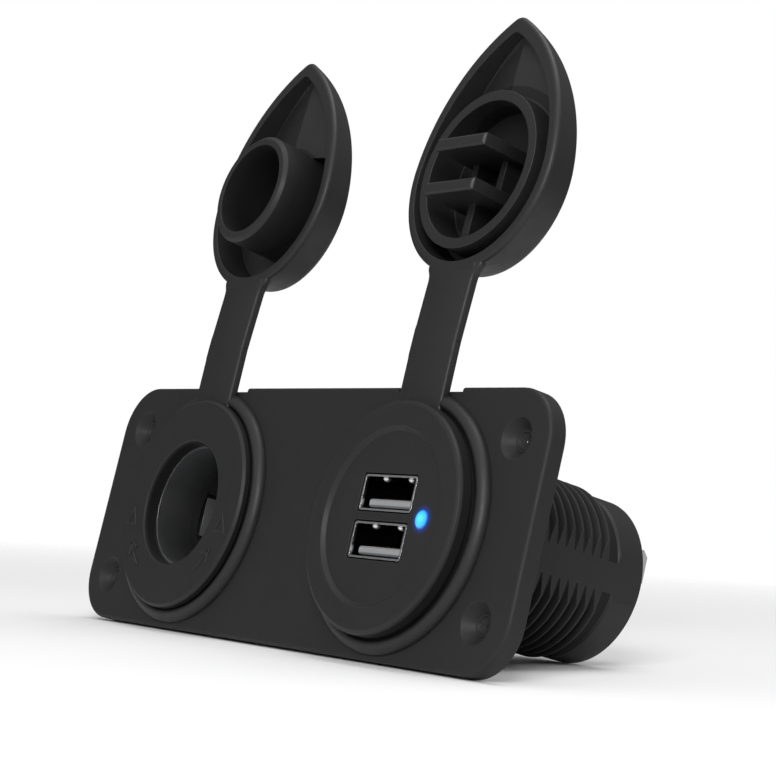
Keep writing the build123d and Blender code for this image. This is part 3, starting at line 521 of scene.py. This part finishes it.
# Lighter socket's base and centre contact: a disc of moulded phenolic is pressed in behind the
# sleeve, and the plug's tip lands on a turned brass button that is riveted through it.
# moulded phenolic: dull brown with the cloudiness of its wood-flour filler
phenolic = moulded("moulded_phenolic", dark="#241f1c", light="#332b27", rub="#574a42", roughness=0.52,
                   grain_mm=0.50, grain_depth_mm=0.008, edge_mm=0.15)
dress(phenolic, "contact_base")
# turned brass: yellow metal with the lathe's fine lines, darkened a little by use
brass = plated("turned_brass", dark="#a8823f", light="#d0a95c", roughness=0.28,
               line_mm=0.15, line_depth_mm=0.003, along=ALONG_X)
dress(brass, "centre_contact")

# Charger's housing: the same nylon moulding and thread as its neighbour, closed by a dished face
# with windows for the two receptacles and a hole for the status lamp.
usb_x = (usb_low[0] + usb_high[0]) / 2 / MM
usb_face = usb_low[1] / MM
usb_flange = (usb_high[0] - usb_low[0]) / 2 / MM
LAMP_RADIUS = 1.6
LAMP_DEPTH = 0.6
SPILL_RADIUS = 2.6
lamp_low, lamp_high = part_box("status_led")
lamp_centre = ((lamp_low[0] + lamp_high[0]) / 2, lamp_low[1] + LAMP_DEPTH * MM,
               (lamp_low[2] + lamp_high[2]) / 2)
# the same nylon, with a painted glow of the lamp's blue light on the face around it
lit_nylon = nylon("lamplit_nylon")
tree, surface = surface_of(lit_nylon)
place = add_node(tree, "ShaderNodeTexCoord")
away = add_node(tree, "ShaderNodeVectorMath", {"operation": "DISTANCE", 1: lamp_centre},
                {0: place.outputs["Object"]})
spill = add_node(tree, "ShaderNodeMapRange",
                 {"From Min": SPILL_RADIUS * MM, "From Max": LAMP_RADIUS * MM},
                 {"Value": away.outputs["Value"]})
falling = add_node(tree, "ShaderNodeMath", {"operation": "POWER", 1: 2.0}, {0: spill.outputs["Result"]})
glow = add_node(tree, "ShaderNodeMath", {"operation": "MULTIPLY", 1: 0.42},
                {0: falling.outputs["Value"]})
surface.inputs["Emission Color"].default_value = linear("#0f41b4")
tree.links.new(glow.outputs["Value"], surface.inputs["Emission Strength"])
# painted shade on the rim of the flange and the roots of the thread
shade_band(lit_nylon, usb_x, 0, inner=usb_flange - RIM_BAND, outer=usb_flange + 1,
           start=usb_face + 0.45, end=usb_face + 0.9, darkness=0.85, dull=0.80)
shade_thread(lit_nylon, usb_x)
dress(lit_nylon, "usb_housing")

# Receptacles of the charger: each is a shell folded from plated steel strip round a moulded tongue
# with four gold-flashed spring contacts. Two sprung dimples in each roof grip the plug.
# bright nickel plate on rolled steel: the glossiest metal here, a thin pale line round each port
shell_plate = plated("rolled_nickel_plate", dark="#cfd0d2", light="#eeeeef", roughness=0.16,
                     line_mm=0.25, line_depth_mm=0.002, along=ALONG_Y)
port_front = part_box("upper_port_shell")[0][1] / MM
# painted shade: the inside of each shell falls nearly to black behind its front edge
shade_band(shell_plate, usb_x, 0, inner=0, outer=20.0, start=port_front + 0.12,
           end=port_front + 0.60, darkness=0.97)
dress(shell_plate, "upper_port_shell", "lower_port_shell")
# burnished nickel: paler than the shell, because every plug rubs over the dimples
burnished = plated("burnished_nickel", dark="#dfe0e2", light="#f4f4f5", roughness=0.34,
                   line_mm=0.25, line_depth_mm=0.001, along=ALONG_Y)
SHELL_WALL = 0.30
DIMPLE_SIDE = 3.2
DIMPLE_INSIDE = 1.7
DIMPLE_RADIUS = 0.62
DIMPLE_DROP = 0.50
DIMPLE_SUNK = 0.02
DIMPLE_ROWS = 5
DIMPLE_STEPS = 24
dimple_points = []
dimple_faces = []
for node in ("upper_port_shell", "lower_port_shell"):
    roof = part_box(node)[1][2] / MM - SHELL_WALL + DIMPLE_SUNK
    for centre_x in (usb_x - DIMPLE_SIDE, usb_x + DIMPLE_SIDE):
        first = len(dimple_points)
        for row in range(DIMPLE_ROWS):
            slope = math.radians(90 * (1 - row / DIMPLE_ROWS))
            for step in range(DIMPLE_STEPS):
                angle = 2 * math.pi * step / DIMPLE_STEPS
                dimple_points.append((centre_x + DIMPLE_RADIUS * math.sin(slope) * math.cos(angle),
                                      port_front + DIMPLE_INSIDE
                                      + DIMPLE_RADIUS * math.sin(slope) * math.sin(angle),
                                      roof - DIMPLE_DROP * math.cos(slope)))
        tip = len(dimple_points)
        dimple_points.append((centre_x, port_front + DIMPLE_INSIDE, roof - DIMPLE_DROP))
        for row in range(DIMPLE_ROWS - 1):
            here = first + row * DIMPLE_STEPS
            dimple_faces += join_rows(here, here + DIMPLE_STEPS, DIMPLE_STEPS)
        last = tip - DIMPLE_STEPS
        dimple_faces += [[last + a, last + (a + 1) % DIMPLE_STEPS, tip] for a in range(DIMPLE_STEPS)]
        dimple_faces.append(list(range(first, first + DIMPLE_STEPS)))
dimples = make_piece("port_spring_dimples", dimple_points, dimple_faces, burnished, sharp_degrees=60)
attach(dimples, "socket_panel")
# glass-filled liquid-crystal polymer: a dense, smooth pale grey
tongue_lcp = moulded("moulded_lcp", dark="#8d8f91", light="#9d9fa1", rub="#b4b6b8", roughness=0.40,
                     grain_mm=0.20, grain_depth_mm=0.003, edge_mm=0.08)
dress(tongue_lcp, "upper_port_tongue", "lower_port_tongue")
# gold flash on bronze strip: warm and bright on the raised bows
gold = plated("gold_flash", dark="#c59a4b", light="#e6c078", roughness=0.22,
              line_mm=0.12, line_depth_mm=0.002, along=ALONG_Y)
dress(gold, "upper_port_contacts", "lower_port_contacts")

# Status lamp: a clear blue epoxy dome cast over a small chip, lit whenever the panel has power. It
# stands in a hole in the charger's face, and its two leads go back to the charger's boards.
# lit epoxy: pale in the middle over the chip, deep blue at the edge of the dome
lamp_epoxy, tree = blank_material("lit_blue_epoxy")
place = add_node(tree, "ShaderNodeTexCoord")
offset = add_node(tree, "ShaderNodeVectorMath", {"operation": "SUBTRACT", 1: lamp_centre},
                  {0: place.outputs["Object"]})
across = add_node(tree, "ShaderNodeVectorMath", {"operation": "MULTIPLY", 1: (1.0, 0.0, 1.0)},
                  {0: offset.outputs["Vector"]})
reach = add_node(tree, "ShaderNodeVectorMath", {"operation": "LENGTH"}, {0: across.outputs["Vector"]})
share = add_node(tree, "ShaderNodeMapRange", {"From Min": 0.0, "From Max": LAMP_RADIUS * MM},
                 {"Value": reach.outputs["Value"]})
tint = add_node(tree, "ShaderNodeValToRGB", None, {0: share.outputs["Result"]})
tint.color_ramp.elements[0].color = linear("#58c8ea")
tint.color_ramp.elements[1].color = linear("#0a2f86")
for share_out, code in ((0.50, "#34b2e2"), (0.78, "#2398d6"), (0.88, "#0d49a6")):
    tint.color_ramp.elements.new(share_out).color = linear(code)
cast = add_node(tree, "ShaderNodeTexNoise", {"Scale": 1 / (0.7 * MM)}, {"Vector": place.outputs["Object"]})
ripple = add_node(tree, "ShaderNodeBump", {"Strength": 0.4, "Distance": 0.01 * MM},
                  {"Height": cast.outputs["Fac"]})
surface = add_node(tree, "ShaderNodeBsdfPrincipled",
                   {"IOR": 1.55, "Roughness": 0.12, "Emission Strength": 0.62},
                   {"Base Color": tint.outputs["Color"], "Emission Color": tint.outputs["Color"],
                    "Normal": ripple.outputs["Normal"]})
add_node(tree, "ShaderNodeOutputMaterial", None, {"Surface": surface.outputs["BSDF"]})
dress(lamp_epoxy, "status_led")

# Charger's boards and parts, behind the receptacles: glass-epoxy boards with a green solder mask,
# and a moulded inductor, two can capacitors and the converter chip soldered to them.
# solder mask over glass cloth: glossy green with the cloth's weave, drawn at 0.6 mm, just showing
WEAVE_MM = 0.6
# at scale 1, a Wave texture has 20 radians in one metre
WAVES_IN_ONE = 20 / 6.2832
mask, tree = blank_material("green_solder_mask")
place = add_node(tree, "ShaderNodeTexCoord")
warp, weft = [add_node(tree, "ShaderNodeTexWave",
                       {"bands_direction": axis, "Scale": 1 / (WEAVE_MM * MM) / WAVES_IN_ONE},
                       {"Vector": place.outputs["Object"]}) for axis in ("X", "Z")]
weave = add_node(tree, "ShaderNodeMath", {"operation": "ADD"},
                 {0: warp.outputs["Fac"], 1: weft.outputs["Fac"]})
cloth = add_node(tree, "ShaderNodeMix",
                 {"data_type": "RGBA", COLOUR_A: linear("#123f27"), COLOUR_B: linear("#1c5536")},
                 {MIX_SHARE: weave.outputs["Value"]})
relief = add_node(tree, "ShaderNodeBump", {"Strength": 0.5, "Distance": 0.01 * MM},
                  {"Height": weave.outputs["Value"]})
dust = add_node(tree, "ShaderNodeTexNoise", {"Scale": 1 / (2 * MM)}, {"Vector": place.outputs["Object"]})
gloss = add_node(tree, "ShaderNodeMapRange", {"To Min": 0.22, "To Max": 0.42},
                 {"Value": dust.outputs["Fac"]})
surface = add_node(tree, "ShaderNodeBsdfPrincipled", {"IOR": 1.55},
                   {"Base Color": cloth.outputs[MIXED_COLOUR], "Roughness": gloss.outputs["Result"],
                    "Normal": relief.outputs["Normal"]})
add_node(tree, "ShaderNodeOutputMaterial", None, {"Surface": surface.outputs["BSDF"]})
dress(mask, "port_board", "converter_board")
# sintered ferrite: a dull stony grey-black
ferrite = moulded("sintered_ferrite", dark="#2b2b2d", light="#38383b", rub="#505054", roughness=0.62,
                  grain_mm=0.30, grain_depth_mm=0.010, edge_mm=0.12)
dress(ferrite, "inductor")
# drawn aluminium can: soft silver with the fine lines of drawing
can_skin = plated("drawn_aluminium", dark="#bcbec1", light="#d9dadc", roughness=0.30,
                  line_mm=0.20, line_depth_mm=0.002, along=ALONG_X)
dress(can_skin, "input_capacitor", "output_capacitor")
# moulded epoxy: a flat charcoal, like fine slate
chip_epoxy = moulded("moulded_epoxy", dark="#151618", light="#1d1e20", rub="#2c2d2f", roughness=0.58,
                     grain_mm=0.15, grain_depth_mm=0.004, edge_mm=0.08)
dress(chip_epoxy, "converter_chip")


# Weather caps: ring, strap and teardrop cap of each socket are one soft moulding of thermoplastic
# rubber. The ring is trapped under the flange, and the strap bends to fold the cap over the face.
def rubber(name):
    """Moulded rubber: a black like the nylon's, with a little more dry sheen on its curves."""
    return moulded(name, dark="#1d1d1d", light="#222222", rub="#3f3f3f", roughness=0.46,
                   grain_mm=0.30, grain_depth_mm=0.003, edge_mm=0.25, glint=0.35)


# moulded rubber, as it leaves the mould
cap_rubber = rubber("moulded_rubber")
dress(cap_rubber, "lighter_cap_ring", "usb_cap_ring")
folds = {joint["name"]: joint["pos_m"] for joint in frame["joints"]}
# each hollow of the caps: inner and outer radius, and where in depth its shade starts and ends
plug_hollow = (0, 10.3, -7.6, -4.0)
seal_hollow = (0, 11.5, -6.0, 0.5)
seal_groove = (13.5, 15.2, -3.4, -1.0)
for name, node, fold, hollows in (("plug_rubber", "lighter_cap", "lighter_cap_fold", (plug_hollow,)),
                                  ("seal_rubber", "usb_cap", "usb_cap_fold", (seal_hollow, seal_groove))):
    # the same rubber, with painted shade that darkens it down in the hollows
    inner_rubber = rubber(name)
    for inner, outer, start, end in hollows:
        shade_band(inner_rubber, folds[fold][0] / MM, 2 * folds[fold][2] / MM, inner, outer, start, end,
                   darkness=0.85, dull=0.65)
    dress(inner_rubber, node)

# the soft ring of each moulding: a rounded bead outside, and a groove between it and the flange
RING_EDGE = 20.8
RING_HOLE = 15.0
BEAD_SIDE = 0.12
BEAD_WIDTH = 1.5
GROOVE_DEPTH = 0.70
GROOVE_WALL = ((1.75, 0.05), (1.95, 0.22), (2.10, 0.50), (2.30, GROOVE_DEPTH))
GROOVE_INNER = 17.9
FLANGE_SEAT = 17.7
ring_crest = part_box("lighter_cap_ring")[0][1] / MM
bead_foot = panel_face - BEAD_SIDE
ring_profile = [(RING_HOLE, panel_face), (RING_EDGE, panel_face), (RING_EDGE, bead_foot)]
ring_profile += [(RING_EDGE - BEAD_WIDTH + BEAD_WIDTH * math.cos(math.radians(a)),
                  bead_foot - (bead_foot - ring_crest) * math.sin(math.radians(a)))
                 for a in range(10, 91, 10)]
ring_profile += [(RING_EDGE - inset, ring_crest + depth) for inset, depth in GROOVE_WALL]
ring_profile += [(GROOVE_INNER, ring_crest + GROOVE_DEPTH), (FLANGE_SEAT, ring_crest),
                 (RING_HOLE, ring_crest)]
for name, node, centre_x in (("lighter_ring", "lighter_cap_ring", lighter_x),
                             ("usb_ring", "usb_cap_ring", usb_x)):
    # the same rubber, with painted shade that darkens it in the groove between the bead and the flange
    ring_rubber = rubber(f"{name}_rubber")
    shade_band(ring_rubber, centre_x, 0, inner=0, outer=RING_EDGE - 1.72, start=ring_crest + 0.02,
               end=ring_crest + 0.30, darkness=0.92, dull=0.85)
    ring = turned(name, [(centre_x, 0)], ring_profile, ring_rubber, sharp_degrees=50, steps=144)
    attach(ring, "socket_panel")
    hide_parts(node)

# Straps: a flat bar of the same rubber from each ring to its cap, flared where it meets the cap. It
# covers the bar of the solids by a skin, and is split at the fold, where the real one bends.
STRAP_WIDTH = 10.8
STRAP_THICKNESS = 1.5
STRAP_SKIN = 0.04
STRAP_CORNER = 0.42
CORNER_STEPS = 4
LEAST_SIDE = 0.005
STRAP_FOOT = 17.4
CAP_RADIUS = 17.3
ROOT_ROWS = 10
END_ROWS = 26
# the cap's end of the strap: how far it goes in over the cap's rim, and how it flares and sinks
END_IN_CAP = 1.7
FLARE_IN_CAP = 0.9
FLARE_LENGTH = 2.6
FLARE_WIDTH = 1.1
SINK_START = 0.1
SINK_LENGTH = 1.2
SINK_DEPTH = 0.22
# the lap: the rounded end of each half, set in from the strap's faces over its first millimetre
LAP_ROWS = 12
LAP_RUN = 1.0
LAP_INSET = 0.14
LAP_SIDE_INSET = 0.12
LAP_TIP = 0.05
WEB_OVERLAP = 0.02


def rounded_section(half_wide, half_deep, corner):
    """The outline of a flat bar with rounded corners, about its middle."""
    corner = min(corner, half_deep - LEAST_SIDE)
    outline = []
    for side_x, side_y, start in ((1, 1, 0), (-1, 1, 90), (-1, -1, 180), (1, -1, 270)):
        for step in range(CORNER_STEPS + 1):
            angle = math.radians(start + 90 * step / CORNER_STEPS)
            outline.append((side_x * (half_wide - corner) + corner * math.cos(angle),
                            side_y * (half_deep - corner) + corner * math.sin(angle)))
    return outline


def lofted(name, sections, material):
    """A closed skin through sections that have the same number of points."""
    width = len(sections[0])
    points = [point for section in sections for point in section]
    faces = []
    for row in range(len(sections) - 1):
        faces += join_rows(row * width, (row + 1) * width, width)
    faces.append(list(range(width)))
    faces.append(list(range(len(points) - width, len(points))))
    return make_piece(name, points, faces, material, sharp_degrees=60)


def turned_about(point, fold_y, fold_z, degrees):
    """A point turned about a strap's fold, towards the front for a positive angle at the top."""
    angle = math.radians(degrees)
    y = point[1] - fold_y
    z = point[2] - fold_z
    return (point[0], fold_y + y * math.cos(angle) - z * math.sin(angle),
            fold_z + y * math.sin(angle) + z * math.cos(angle))


def build_strap(side, ring, cap_body, fold, lean_degrees):
    """A strap in two halves, whose rounded ends lap inside each other, and the web that spans them."""
    low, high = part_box(ring)
    centre_x = (low[0] + high[0]) / 2 / MM
    fold_y = fold[1] / MM
    fold_z = fold[2] / MM
    front = low[1] / MM - STRAP_SKIN - fold_y
    back = front + STRAP_THICKNESS + 2 * STRAP_SKIN
    half = STRAP_WIDTH / 2 + STRAP_SKIN
    rim = fold_z - CAP_RADIUS
    last = math.degrees(math.acos((front + LAP_INSET + LAP_TIP) / back))
    # each row: height from the fold, half the width, front and back face
    lap = []
    for part in range(LAP_ROWS + 1):
        angle = math.radians(last * part / LAP_ROWS)
        inset = min(LAP_RUN, back * math.sin(angle))
        lap.append((back * math.sin(angle), half - LAP_SIDE_INSET * inset, front + LAP_INSET * inset,
                    back * math.cos(angle)))
    lower = [((STRAP_FOOT - fold_z) * (1 - part / ROOT_ROWS), half, front, back)
             for part in range(ROOT_ROWS + 1)]
    lower += lap
    upper = []
    for part in range(END_ROWS + 1):
        height = (rim + END_IN_CAP) * (1 - part / END_ROWS)
        near = min(1.0, max(0.0, 1 - (rim + FLARE_IN_CAP - height) / FLARE_LENGTH))
        sunk = SINK_DEPTH * min(1.0, max(0.0, (height - rim - SINK_START) / SINK_LENGTH))
        upper.append((height, half + FLARE_WIDTH * near ** 3, front + sunk, back - sunk))
    upper += [(-height, wide, near_face, far_face) for height, wide, near_face, far_face in lap]
    for name, rows, body, lean in ((f"{side}_strap_root", lower, "socket_panel", 0),
                                   (f"{side}_strap_end", upper, cap_body, lean_degrees)):
        sections = [[turned_about((centre_x + x, fold_y + (near_face + far_face) / 2 + y, fold_z + height),
                                  fold_y, fold_z, -lean)
                     for x, y in rounded_section(wide, (far_face - near_face) / 2, STRAP_CORNER)]
                    for height, wide, near_face, far_face in rows]
        piece = lofted(name, sections, cap_rubber)
        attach(piece, body)
    # the web is drawn closed, between the tips of the two laps, and its far end then opens with the
    # cap: no point of it is within 0.4 mm of the fold's height, where a blend would bend it
    top = lap[-1][0]
    thick = STRAP_THICKNESS + STRAP_SKIN
    reach = front + LAP_INSET + WEB_OVERLAP
    closed = [[(centre_x + x, fold_y + at, fold_z + top - thick / 2 + z)
               for x, z in rounded_section(half - LAP_SIDE_INSET, thick / 2, STRAP_CORNER)]
              for at in (reach, -reach)]
    web = lofted(f"{side}_strap_web", closed, cap_rubber)
    for vertex in web.data.vertices:
        if vertex.co.y < fold[1]:
            vertex.co = Vector(turned_about(vertex.co / MM, fold_y, fold_z, -180 - lean_degrees)) * MM
    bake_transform(web)


# open, each cap leans back by a few degrees
build_strap("lighter", "lighter_cap_ring", "lighter_cap_body", folds["lighter_cap_fold"],
            lean_degrees=3.2)
build_strap("usb", "usb_cap_ring", "usb_cap_body", folds["usb_cap_fold"], lean_degrees=2.7)
